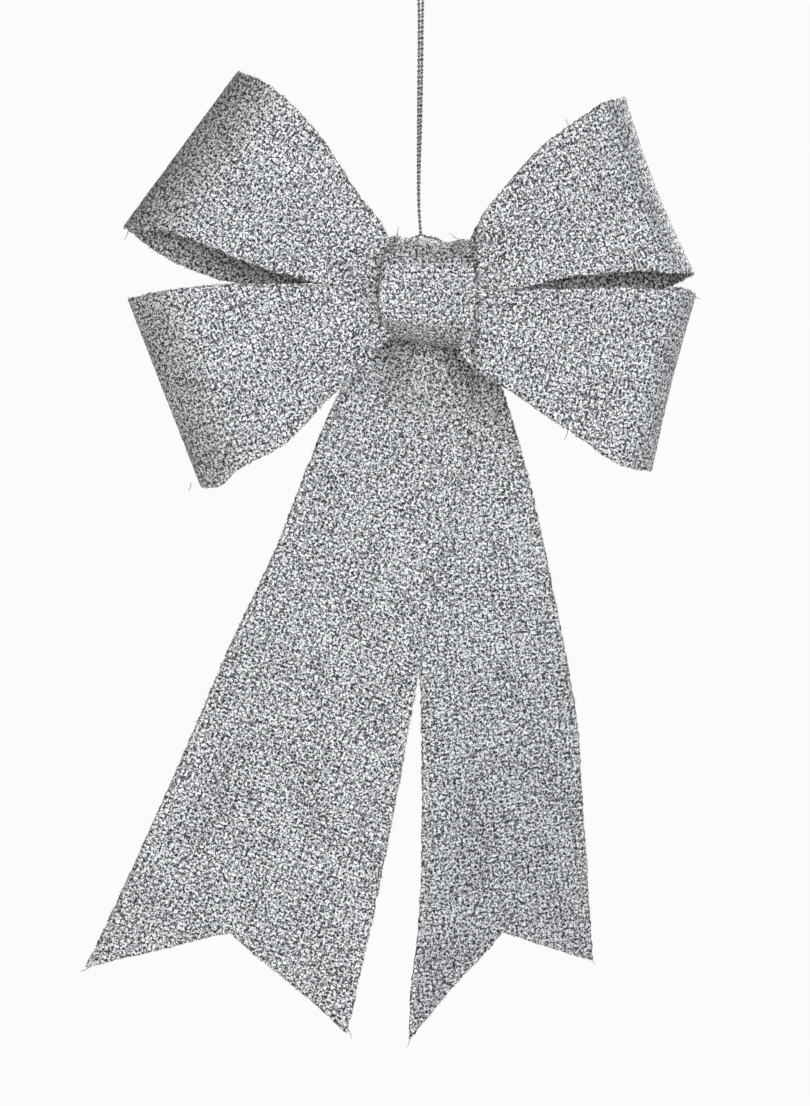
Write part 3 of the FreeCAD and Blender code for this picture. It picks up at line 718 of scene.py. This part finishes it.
class GIFTBOW_OT_knot_band(bpy.types.Operator):
    """Wraps the short strip that makes the centre knot"""
    bl_idname = "giftbow.knot_band"
    bl_label = "Knot band"

    def execute(self, context):
        cloth = context.scene.gift_bow.cloth
        step = cloth.grid / MM
        section = band_line()
        line, run = evenly(np.stack([section[:, 0] * 0, section[:, 0], section[:, 1]], -1), step)
        depth, height = line[:, 1], line[:, 2]
        middle_share = 1 - np.clip(np.abs(height) / BAND_HALF_HEIGHT, 0, 1) ** 2
        left = -(BAND_LEFT[0] + BAND_LEFT[1] * middle_share) - ragged(run, 31)
        right = BAND_RIGHT[0] + BAND_RIGHT[1] * middle_share + ragged(run, 33)
        share = np.linspace(0.0, 1.0, int(24 / step))[None, :]
        across = left[:, None] * (1 - share) + right[:, None] * share
        along = np.broadcast_to(run[:, None], across.shape)
        ahead = np.gradient(line, axis=0)
        outward = unit(np.stack([ahead[:, 2], -ahead[:, 1]], -1))
        edge = np.abs(2 * share - 1)
        sink = -BAND_EDGE_SINK * edge ** 4 + 0.2 * grain(across / 9, along / 9, 35)
        fade = ease((run / run[-1] - 0.12) / 0.1) * ease((0.82 - run / run[-1]) / 0.08)
        sink = sink * fade[:, None]
        # Its top rises under the cord and beside the right loops, and its foot is drawn up at the left.
        crest = (BAND_CREST * (np.exp(-((across + 4) / 5) ** 2) + np.exp(-((across + 9) / 2) ** 2))
                 + BAND_RIGHT_CREST * ease((across - 5) / 4))
        drawn = BAND_DRAWN * ease((6 - across) / 16) * ease((-height - 6) / 6)[:, None]
        rise = drawn + crest * ease((height - 8) / 5)[:, None]
        middle = np.stack([across, depth[:, None] + outward[:, :1] * sink,
                           height[:, None] + outward[:, 1:] * sink + rise], -1)
        band = cloth_object("knot_band_cloth", middle, across, along, 37)
        ride_as(band, "knot", "glitter_knit", "knot_band")
        out = np.tile((-1.0, 0.0, 0.0), (len(line), 1))
        up = np.concatenate([np.zeros((len(line), 1)), outward], 1)
        fibres = edge_fibres(middle[:, 0] + KNOT, out, up, 39)
        fringe = fringe_object("knot_band", fibres, "knot_band")
        ride_as(fringe, "knot", "glitter_knit")
        return {"FINISHED"}


class GIFTBOW_OT_gathering_thread(bpy.types.Operator):
    """Winds the thread that gathers the four loops' ends"""
    bl_idname = "giftbow.gathering_thread"
    bl_label = "Gathering thread"

    def execute(self, context):
        fixing = context.scene.gift_bow.fixing
        low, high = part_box("gathering_thread")
        centre = (low + high) / 2
        half_depth, half_height = (high.y - low.y) / 2, (high.z - low.z) / 2
        radius = fixing.thread / 2
        pitch = (high.x - low.x - fixing.thread) / (fixing.turns - 1)
        parts = []
        for turn in range(fixing.turns):
            deselect()
            place = (low.x + radius + turn * pitch, centre.y, centre.z)
            bpy.ops.mesh.primitive_torus_add(
                major_radius=half_depth - radius, minor_radius=radius, major_segments=48,
                minor_segments=8, location=place, rotation=(0, math.radians(90), 0))
            ring = context.object
            bpy.ops.object.transform_apply(location=True, rotation=True, scale=True)
            for side in (1, -1):
                bpy.ops.object.mode_set(mode="EDIT")
                bpy.ops.mesh.select_all(action="DESELECT")
                bpy.ops.object.mode_set(mode="OBJECT")
                for vertex in ring.data.vertices:
                    vertex.select = side * (vertex.co.z - centre.z) > -1e-6
                bpy.ops.object.mode_set(mode="EDIT")
                # Each turn leans a little, so that it crosses to the next.
                bpy.ops.transform.translate(value=(side * pitch * 0.25, 0, side * (half_height - half_depth)))
                bpy.ops.object.mode_set(mode="OBJECT")
            parts.append(ring)
        deselect()
        for part in parts:
            part.select_set(True)
        context.view_layer.objects.active = parts[0]
        bpy.ops.object.join()
        wound = context.object
        wound.name = "gathering_thread_turns"
        bpy.ops.object.shade_smooth()
        wound.data.materials.append(material("spun_polyester_thread", spun_thread))
        ride_as(wound, "knot", "binding_thread", "gathering_thread")
        return {"FINISHED"}


def glue_pad(name, node):
    """Pad of glue squeezed between two layers, with a rounded, uneven rim."""
    low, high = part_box(node)
    centre, size = (low + high) / 2, high - low
    deselect()
    bpy.ops.mesh.primitive_cube_add(size=1.0, location=centre)
    pad = bpy.context.object
    pad.name = name
    pad.scale = size
    bpy.ops.object.transform_apply(location=True, rotation=True, scale=True)
    bpy.ops.object.mode_set(mode="EDIT")
    bpy.ops.mesh.select_all(action="SELECT")
    bpy.ops.mesh.subdivide(number_cuts=9)
    bpy.ops.object.mode_set(mode="OBJECT")
    for vertex in pad.data.vertices:
        x, z = (vertex.co.x - centre.x) / size.x * 2, (vertex.co.z - centre.z) / size.z * 2
        rim = max(abs(x), abs(z)) ** 6
        angle = math.atan2(z, x)
        pull = 1 - rim * (0.06 + 0.035 * math.sin(5 * angle + 1) + 0.02 * math.sin(11 * angle))
        vertex.co.x = centre.x + (vertex.co.x - centre.x) * pull
        vertex.co.z = centre.z + (vertex.co.z - centre.z) * pull
    deselect()
    pad.select_set(True)
    bpy.context.view_layer.objects.active = pad
    rounding = pad.modifiers.new("rounding", "SUBSURF")
    rounding.levels = rounding.render_levels = 2
    bpy.ops.object.modifier_apply(modifier=rounding.name)
    bpy.ops.object.shade_smooth()
    pad.data.materials.append(material("hot_melt_eva_glue", hot_melt_glue))
    ride_as(pad, "knot", "hot_glue", node)
    return pad


class GIFTBOW_OT_glue(bpy.types.Operator):
    """Squeezes the two pads of glue behind the knot"""
    bl_idname = "giftbow.glue"
    bl_label = "Glue"

    def execute(self, context):
        glue_pad("band_glue_pad", "band_glue")
        glue_pad("tail_glue_pad", "tail_glue")
        return {"FINISHED"}


# ---------------------------------------------------------------- loops

# Each loop, in millimetres from the knot's centre: lean of its fold's normal from +X towards +Z, reach
# of the fold, how long its round end is, how far the front and back stand out beside the band, how far
# the fold's middle falls back, how much fuller the front is past the band's edge, and the cut edges seen
# from the camera, from the gathered end to the fold.
LOOPS = {
    "upper_left": {
        "lean": 143.6, "reach": 74.85, "round_end": 15.0, "mouth": (4.5, 3.0), "hollow": 0.0, "shoulder": 0.0,
        "front_high": [(-1, 5.6), (-8, 6.6), (-10, 12.4), (-11.2, 16), (-13.8, 20.4), (-16.8, 24.1),
                       (-19.3, 27.4), (-29.1, 42.1), (-40, 53.3), (-45.2, 56.7), (-49.7, 57.7)],
        "front_low": [(-1, 0.9), (-12, 1.2), (-29.4, 3.2), (-49.4, 9.1), (-63.7, 15.1), (-72.8, 17.4),
                      (-79.0, 17.9)],
        "back_high": [(-1, 5.6), (-8, 6.6), (-10, 12), (-11.5, 15.5), (-14.2, 19.8), (-19.8, 26.8),
                      (-29.8, 41.2), (-40, 51.8), (-49.3, 58.2)],
        "back_low": [(-1, 0.9), (-12, 1.2), (-29.4, 2.9), (-40, 2.9), (-53.3, 3.7), (-61.9, 6.6),
                     (-72.5, 11.7), (-79.7, 16.8)],
    },
    "upper_right": {
        "lean": 21.4, "reach": 66.2, "round_end": 10.0, "mouth": (6.4, 3.0), "hollow": 1.2, "shoulder": 1.6,
        "front_high": [(1, 5.6), (8, 6.6), (10, 13.5), (12.4, 18.4), (15.6, 23.6), (18.9, 27.4), (29.1, 38.7),
                       (40.6, 47.1), (45.8, 50.4), (50.7, 50.8)],
        "front_low": [(1, 0.9), (8, 0.9), (14, 1.2), (26.8, 2.4), (32.2, 3.9), (42.1, 5.2), (54.6, 6.0),
                      (65.5, 6.0), (68.3, 5.9)],
        "back_high": [(1, 5.6), (8, 6.6), (10, 13), (12.8, 18), (19.2, 26.8), (30, 38.2), (41, 46.6),
                      (50.3, 51.8)],
        "back_low": [(1, 0.9), (8, 0.9), (14, 1.2), (26, 1.5), (35, 0.5), (50, 0.2), (63.5, 2.3),
                     (68.8, 4.6)],
    },
    "lower_left": {
        "lean": 201.3, "reach": 73.75, "round_end": 14.0, "mouth": (5.4, 3.0), "hollow": 0.0, "shoulder": 0.0,
        "front_high": [(-1, 0.5), (-8, 0.5), (-14, 1.6), (-31.2, 2.7), (-49.4, 3.0), (-59.3, 2.3),
                       (-67.3, 1.3), (-77, -0.3), (-78.5, -0.8)],
        "front_low": [(-1, -5.6), (-8, -6.5), (-11.5, -12), (-16.4, -17.2), (-26.5, -27.3),
                      (-36.9, -38), (-50.4, -46), (-55.6, -50.7), (-59, -50.4)],
        "back_high": [(-1, 0.5), (-8, 0.5), (-14, 1.2), (-31, 1.6), (-49, 1.4), (-67, -0.2),
                      (-78.8, -1.3)],
        "back_low": [(-1, -5.6), (-8, -6.5), (-11.5, -11.6), (-16.8, -16.6), (-27, -26.2),
                     (-38, -36.6), (-51, -44.6), (-59.3, -49.4)],
    },
    "lower_right": {
        "lean": -14.1, "reach": 67.2, "round_end": 11.0, "mouth": (6.7, 3.0), "hollow": 0.6, "shoulder": 1.4,
        "front_high": [(1, 0.5), (8, 0.5), (14, 1.0), (27, 1.7), (40.6, 1.8), (49.1, 2.3),
                       (58.2, 1.8), (67.5, 1.6), (69.6, 0.4)],
        "front_low": [(1, -5.6), (6.5, -7.5), (7.8, -14.6), (10.5, -18.6), (15, -21.6), (19.8, -24.4),
                      (29.6, -31.2), (41.1, -38.7), (47.1, -42.9), (54.1, -45.8), (57.5, -46.2)],
        "back_high": [(1, 0.5), (8, 0.5), (14, 0.6), (27, 0.9), (45, 0.6), (60, 0.5), (69.4, -0.2)],
        "back_low": [(1, -5.6), (8, -6.5), (11.5, -12.0), (13.8, -16.8), (20.5, -23.6), (30, -30.2),
                     (42, -38), (57.7, -45.2)],
    },
}
NECK_HALF_DEPTH = 1.2
GATHER_DEPTH = 0.14            # height of the small folds beside the band
SWELL = 0.5                    # how far the panels are from flat
LOOP_START = 4.2               # a strip's ends are this far out from the knot's centre
SPREAD_FROM = 17.0             # the panels part from here to the round end


def loop_grid(name):
    """Middle points of a loop's strip, with each point's place across and along the cloth."""
    cloth = bpy.context.scene.gift_bow.cloth
    step = cloth.grid / MM
    loop = LOOPS[name]
    lean = math.radians(loop["lean"])
    out = np.array([math.cos(lean), math.sin(lean)])
    fold = np.array([-math.sin(lean), math.cos(lean)])
    deep = LOOP_HALF_DEPTH - cloth.thickness / MM / 2
    round_end = loop["round_end"]
    reach = loop["reach"] - cloth.thickness / MM / 2
    # Side view of the strip: front panel, round end and back panel.
    straight = np.linspace(LOOP_START, reach - round_end, 200)
    profile = []
    for mouth, turn in zip(loop["mouth"], (-1, 1)):
        opened = NECK_HALF_DEPTH + (mouth - NECK_HALF_DEPTH) * ease((straight - 5.5) / 6)
        spread = (straight - SPREAD_FROM) / (reach - round_end - SPREAD_FROM)
        depth = opened + (deep - mouth) * np.clip(spread, 0, 1) ** 0.9
        profile.append(np.stack([straight, turn * depth], -1))
    bend = np.radians(np.arange(3, 178, 3))
    end = np.stack([reach - round_end + round_end * np.sin(bend), -deep * np.cos(bend)], -1)
    side = np.concatenate([profile[0], end, profile[1][::-1]])
    turned = np.concatenate([straight * 0, bend / np.pi, straight * 0 + 1])
    run = running_length(side)
    at = np.linspace(0.0, run[-1], int(run[-1] / step))
    away, depth, turned = (np.interp(at, run, values) for values in (side[:, 0], side[:, 1], turned))
    # The two cut edges, as distances along the fold's direction.
    edges = []
    for edge in ("high", "low"):
        both = []
        for panel in ("front_", "back_"):
            points = np.array(loop[panel + edge], float)
            both.append(smooth_through(away, points @ out, points @ fold))
        edges.append(both[0] * (1 - ease(turned)) + both[1] * ease(turned))
    sense = np.sign(edges[0] - edges[1])
    seed = 50 + 10 * list(LOOPS).index(name)
    high = edges[0] + sense * ragged(at, seed)
    low = edges[1] - sense * ragged(at, seed + 2)
    columns = int(np.max(np.abs(high - low)) / step)
    share = np.linspace(0.0, 1.0, columns)[None, :]
    across = high[:, None] * (1 - share) + low[:, None] * share
    along = np.broadcast_to(at[:, None], across.shape)
    away, depth = away[:, None], depth[:, None]
    away = away - loop["hollow"] * np.sin(np.pi * share) * (away / reach) ** 6
    # Folds gathered by the thread fade out a short way from the band, and the panels are not quite flat.
    near = 1 - ease((away - 12) / 16)
    gathers = GATHER_DEPTH * near * np.sin(2 * np.pi * (share * 4.5 + 0.15 * np.sin(6 * share)))
    swell = SWELL * grain(across / 26, along / 26, seed + 4) * (1 - near)
    outwards = np.sign(depth) * np.minimum(1.0, np.abs(depth) / 3)
    depth = depth + gathers * outwards + swell
    flat = away[..., None] * out + across[..., None] * fold
    fuller = loop["shoulder"] * ease((np.abs(flat[..., 0]) - BAND_LEFT[0]) / 2.4) * ease((50 - away) / 30)
    depth = depth - fuller * (depth < 0)
    # What stands nearer to the camera looks larger about the middle of its view.
    view_middle = VIEW_MIDDLE - KNOT[::2]
    flat = view_middle + (flat - view_middle) * (1 + depth[..., None] / VIEW_DISTANCE)
    return np.stack([flat[..., 0], depth, flat[..., 1]], -1), across, along, seed


class GIFTBOW_OT_loops(bpy.types.Operator):
    """Folds the four loops"""
    bl_idname = "giftbow.loops"
    bl_label = "Loops"

    def execute(self, context):
        for name in LOOPS:
            middle, across, along, seed = loop_grid(name)
            loop = cloth_object(name + "_loop_cloth", middle, across, along, seed)
            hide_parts(name + "_loop")
            normal = normals(middle)
            fibres = []
            for column, inner in ((0, 1), (-1, -2)):
                outward = unit(middle[:, column] - middle[:, inner])
                free = np.abs(middle[:, column, 0]) > BAND_LEFT[0] + BAND_LEFT[1]
                fibres += edge_fibres(middle[free, column] + KNOT, outward[free], normal[free, column],
                                      seed + 6 + column)
            fringe = fringe_object(name + "_loop", fibres, name)
            for piece in (loop, fringe):
                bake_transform(piece)
        return {"FINISHED"}


# ---------------------------------------------------------------- tails

# Each tail, seen from the front in millimetres from the knot's centre: its two long edges from the knot
# down, and the notch between its two points.
TAILS = {
    "left": {
        "outer": [(-9, 6), (-9.6, 0), (-17, -12), (-23.9, -25.2), (-41.7, -68.9), (-52.0, -90.7),
                  (-64.5, -119.6), (-76.9, -147.4), (-90.1, -175.7)],
        "inner": [(9, 6), (9.3, 0), (10.6, -12), (11.2, -25.2), (4.6, -60), (-3.0, -98.8),
                  (-8.3, -129), (-13.0, -153.8), (-16.7, -170.2), (-21.6, -193.0)],
        "notch": (-52.3, -166.4), "slant": 21.0,
    },
    "right": {
        "outer": [(9, 6), (9.6, 0), (14, -12), (19, -23.9), (25.1, -44.2), (31.3, -70.5), (35.2, -90.0),
                  (38.4, -107.8), (41.3, -141.8), (42.3, -156.3), (43.5, -176.2)],
        "inner": [(-9, 6), (-9.3, 0), (-9.0, -12), (-8, -25), (-5.4, -60), (-2.5, -104.5),
                  (-2.1, -144.3), (-3.0, -165.4), (-5.2, -184.6), (-5.3, -195.2)],
        "notch": (19.4, -167.6), "slant": -7.0,
    },
}
TAIL_TURN = [(-14.0, 0.0), (-73.0, 11.0), (-135.0, 23.0), (-202.0, 32.0)]
TAIL_HINGE = -15.0
NOTCH_HOLLOW = 0.7             # the long side of each notch is cut slightly hollow
TAIL_WAVE = 0.4
TAIL_FORWARD = 3.6             # how far the left tail comes forward under the band's foot


def tail_grid(side):
    """Middle points of a tail, with each point's place across and along the cloth."""
    cloth = bpy.context.scene.gift_bow.cloth
    step = 1.16 * cloth.grid / MM
    tail = TAILS[side]
    seed = 100 if side == "left" else 110
    lines = {}
    for edge in ("outer", "inner"):
        points = np.array(tail[edge], float)[::-1]
        lines[edge] = (points[:, 1], points[:, 0])
    top = tail["outer"][0][1]
    tip, point = tail["outer"][-1][1], tail["inner"][-1][1]
    notch_x, notch_z = tail["notch"]
    sides = [float(smooth_through(np.array([notch_z]), *lines[edge])[0]) for edge in ("outer", "inner")]
    notch_share = (notch_x - sides[0]) / (sides[1] - sides[0])
    width = max(abs(sides[1] - sides[0]), 40.0)
    share = np.linspace(0.0, 1.0, int(width / step))
    hollow = (notch_z + point) / 2 + NOTCH_HOLLOW
    foot = np.interp(share, [0.0, notch_share, (notch_share + 1) / 2, 1.0], [tip, notch_z, hollow, point])
    foot = foot + ragged(share * width, seed + 8)
    rows = int((top - min(tip, point)) / step)
    down = np.linspace(0.0, 1.0, rows)[:, None]
    height = top * (1 - down) + foot[None, :] * down
    outer, inner = (smooth_through(height, *lines[edge]) for edge in ("outer", "inner"))
    sense = np.sign(inner - outer)
    outer = outer - sense * ragged(height, seed)
    inner = inner + sense * ragged(height, seed + 2)
    x = outer * (1 - share) + inner * share
    slant = math.radians(tail["slant"])
    across = x * math.cos(slant) - height * math.sin(slant)
    along = x * math.sin(slant) + height * math.cos(slant)
    waves = TAIL_WAVE * (1 + grain(across / 34, along / 34, seed + 4)) * ease(-height / 60 - 0.5)
    half = cloth.thickness / MM / 2
    if side == "left":
        # Under the band's foot this tail comes forward a little, between the lower loops.
        forward = ease((-height - 6) / 7) * ease((36 + height) / 20) * ease((15 - np.abs(x)) / 13)
        depth = FRONT_TAIL_FRONT / MM + half - waves - TAIL_FORWARD * forward
    else:
        places, turns = np.array(TAIL_TURN).T
        turn = smooth_through(height, places[::-1].copy(), turns[::-1].copy())
        depth = BACK_TAIL_FRONT / MM + half + (x - TAIL_HINGE) * np.tan(np.radians(turn)) + waves
    return np.stack([x, depth, height], -1), across, along, seed


class GIFTBOW_OT_tails(bpy.types.Operator):
    """Hangs the two swallow-tailed tails behind the knot"""
    bl_idname = "giftbow.tails"
    bl_label = "Tails"

    def execute(self, context):
        for side, body in (("left", "front_tail"), ("right", "back_tail")):
            middle, across, along, seed = tail_grid(side)
            if (middle[0, 0, 0] < middle[0, -1, 0]) != (side == "left"):
                raise RuntimeError("the tail's edges are crossed")
            tail = cloth_object(side + "_tail_cloth", middle, across, along, seed)
            ride_as(tail, body, "glitter_knit", side + "_tail")
            normal = normals(middle)
            fibres = []
            cuts = [(middle[:, 0], middle[:, 1], normal[:, 0]), (middle[:, -1], middle[:, -2], normal[:, -1]),
                    (middle[-1], middle[-2], normal[-1])]
            for place, (edge, within, up) in enumerate(cuts):
                outward = unit(edge - within)
                free = edge[:, 2] < -BAND_HALF_HEIGHT
                fibres += edge_fibres(edge[free] + KNOT, outward[free], up[free], seed + 6 + place)
            fringe = fringe_object(side + "_tail", fibres, side)
            ride_as(fringe, body, "glitter_knit")
        return {"FINISHED"}


# ---------------------------------------------------------------- panel and run

STEPS = (
    GIFTBOW_OT_stage, GIFTBOW_OT_cord, GIFTBOW_OT_cord_knot, GIFTBOW_OT_gathering_thread, GIFTBOW_OT_glue,
    GIFTBOW_OT_knot_band, GIFTBOW_OT_loops, GIFTBOW_OT_tails,
)


class GIFTBOW_PT_panel(bpy.types.Panel):
    """Lists the bow's pieces and sizes"""
    bl_label = "Gift bow"
    bl_idname = "GIFTBOW_PT_panel"
    bl_space_type = "VIEW_3D"
    bl_region_type = "UI"
    bl_category = "Gift bow"

    def draw(self, context):
        settings = context.scene.gift_bow
        for step in STEPS:
            self.layout.operator(step.bl_idname)
        for group in (settings.stage, settings.cloth, settings.cord, settings.fixing):
            box = self.layout.box()
            for name in group.bl_rna.properties.keys():
                if name not in ("rna_type", "name"):
                    box.prop(group, name)


CLASSES = (
    GIFTBOW_StageSettings, GIFTBOW_ClothSettings, GIFTBOW_CordSettings, GIFTBOW_FixingSettings,
    GIFTBOW_Settings, *STEPS, GIFTBOW_PT_panel,
)


def register():
    """Registers the classes and the scene's settings."""
    for kind in CLASSES:
        bpy.utils.register_class(kind)
    bpy.types.Scene.gift_bow = bpy.props.PointerProperty(type=GIFTBOW_Settings)


def unregister():
    """Removes the settings and the classes."""
    del bpy.types.Scene.gift_bow
    for kind in reversed(CLASSES):
        bpy.utils.unregister_class(kind)


def main():
    """Builds the whole bow."""
    register()
    for step in STEPS:
        group, name = step.bl_idname.split(".")
        getattr(getattr(bpy.ops, group), name)()


if __name__ == "__main__":
    main()
